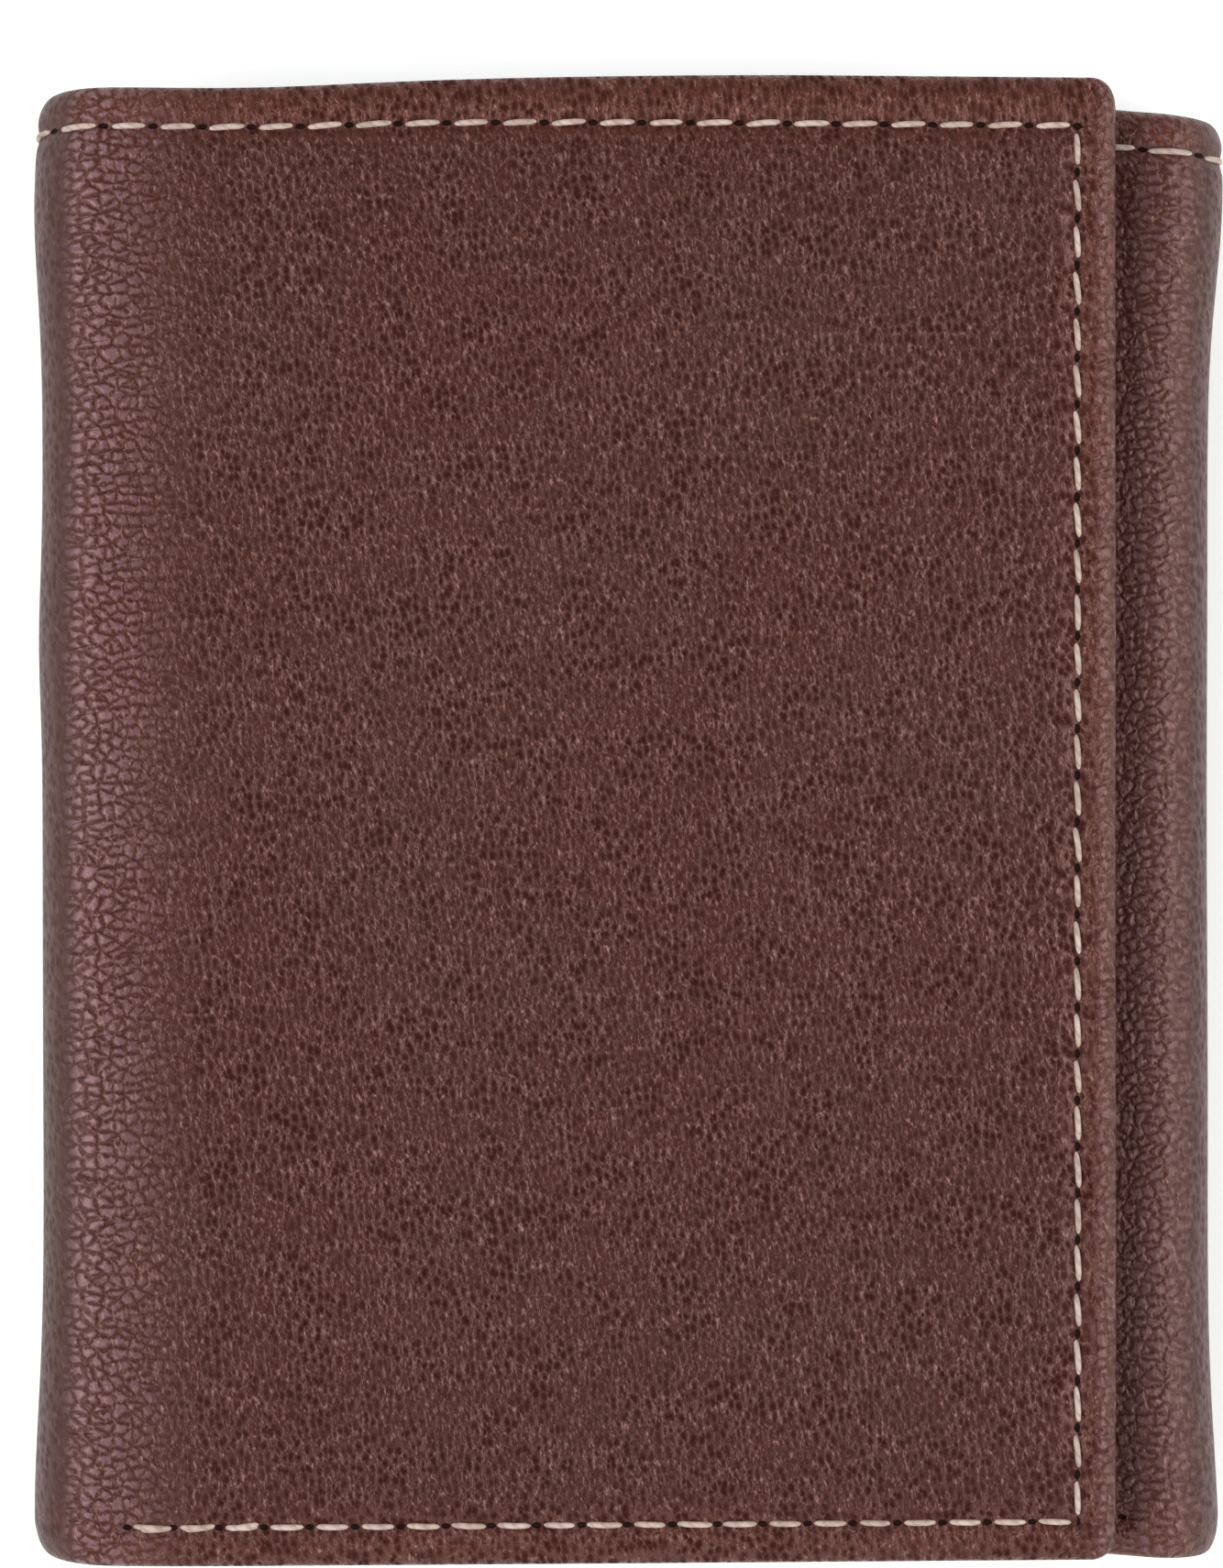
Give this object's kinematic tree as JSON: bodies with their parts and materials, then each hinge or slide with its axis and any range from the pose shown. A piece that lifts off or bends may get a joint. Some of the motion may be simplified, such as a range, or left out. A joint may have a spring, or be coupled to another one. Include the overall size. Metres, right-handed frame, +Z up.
{
  "type": "trifold wallet",
  "caption": "Closed trifold leather wallet: flaps fold over a middle panel, with a note compartment, card slots and a clear identity window.",
  "frame": {"origin": "centre of the closed wallet's footprint on the table, under the middle panel", "axes": "+X across the closed wallet towards the edge where the cover flap ends, +Y towards the mouth of the note compartment, +Z up from the table"},
  "size_m": [0.0844, 0.106, 0.0173],
  "materials": {
    "shell_leather": "brown pebbled leather, satin",
    "pocket_leather": "brown leather, low satin",
    "lining_fabric": "dark woven lining",
    "seam_thread": "cream waxed thread",
    "clear_window": "clear, slightly frosted"
  },
  "bodies": {
    "centre": {"centre_shell": "shell_leather", "centre_upper_thread": "seam_thread", "centre_lower_thread": "seam_thread", "centre_lining": "lining_fabric", "centre_note_wall": "pocket_leather", "centre_pocket_backing": "lining_fabric", "centre_card_slot": "pocket_leather", "id_window": "clear_window", "id_window_frame": "pocket_leather", "centre_pocket_thread": "seam_thread"},
    "left_spine": {"left_spine_shell": "shell_leather", "left_spine_thread": "seam_thread", "left_spine_lining": "lining_fabric", "left_spine_note_wall": "pocket_leather"},
    "cover_flap": {"cover_shell": "shell_leather", "cover_thread": "seam_thread", "cover_lining": "lining_fabric", "cover_note_wall": "pocket_leather", "cover_pocket_backing": "lining_fabric", "cover_card_slot_1": "pocket_leather", "cover_card_slot_2": "pocket_leather", "cover_card_slot_3": "pocket_leather", "cover_pocket_thread": "seam_thread"},
    "right_spine": {"right_spine_shell": "shell_leather", "right_spine_thread": "seam_thread", "right_spine_lining": "lining_fabric", "right_spine_note_wall": "pocket_leather"},
    "inner_flap": {"inner_shell": "shell_leather", "inner_thread": "seam_thread", "inner_lining": "lining_fabric", "inner_note_wall": "pocket_leather", "inner_pocket_backing": "lining_fabric", "inner_card_slot_1": "pocket_leather", "inner_card_slot_2": "pocket_leather", "inner_card_slot_3": "pocket_leather", "inner_pocket_thread": "seam_thread"}
  },
  "joints": [
    {"name": "left_spine_fold", "type": "hinge", "parent": "centre", "child": "left_spine", "pos_m": [-0.04089, 0, 0.00136], "axis": [0, -1, 0], "range_deg": [0, 90]},
    {"name": "cover_flap_fold", "type": "hinge", "parent": "left_spine", "child": "cover_flap", "pos_m": [-0.04085, 0, 0.01604], "axis": [0, -1, 0], "range_deg": [0, 92.25]},
    {"name": "right_spine_fold", "type": "hinge", "parent": "centre", "child": "right_spine", "pos_m": [0.04089, 0, 0.00136], "axis": [0, 1, 0], "range_deg": [0, 31.5]},
    {"name": "inner_flap_fold", "type": "hinge", "parent": "right_spine", "child": "inner_flap", "pos_m": [0.04089, 0, 0.00809], "axis": [0, 1, 0], "range_deg": [0, 31.5]}
  ],
  "couplings": [
    {"joint": "cover_flap_fold", "follows": "left_spine_fold", "ratio": 1.025},
    {"joint": "right_spine_fold", "follows": "left_spine_fold", "ratio": 0.35},
    {"joint": "inner_flap_fold", "follows": "left_spine_fold", "ratio": 0.35}
  ]
}
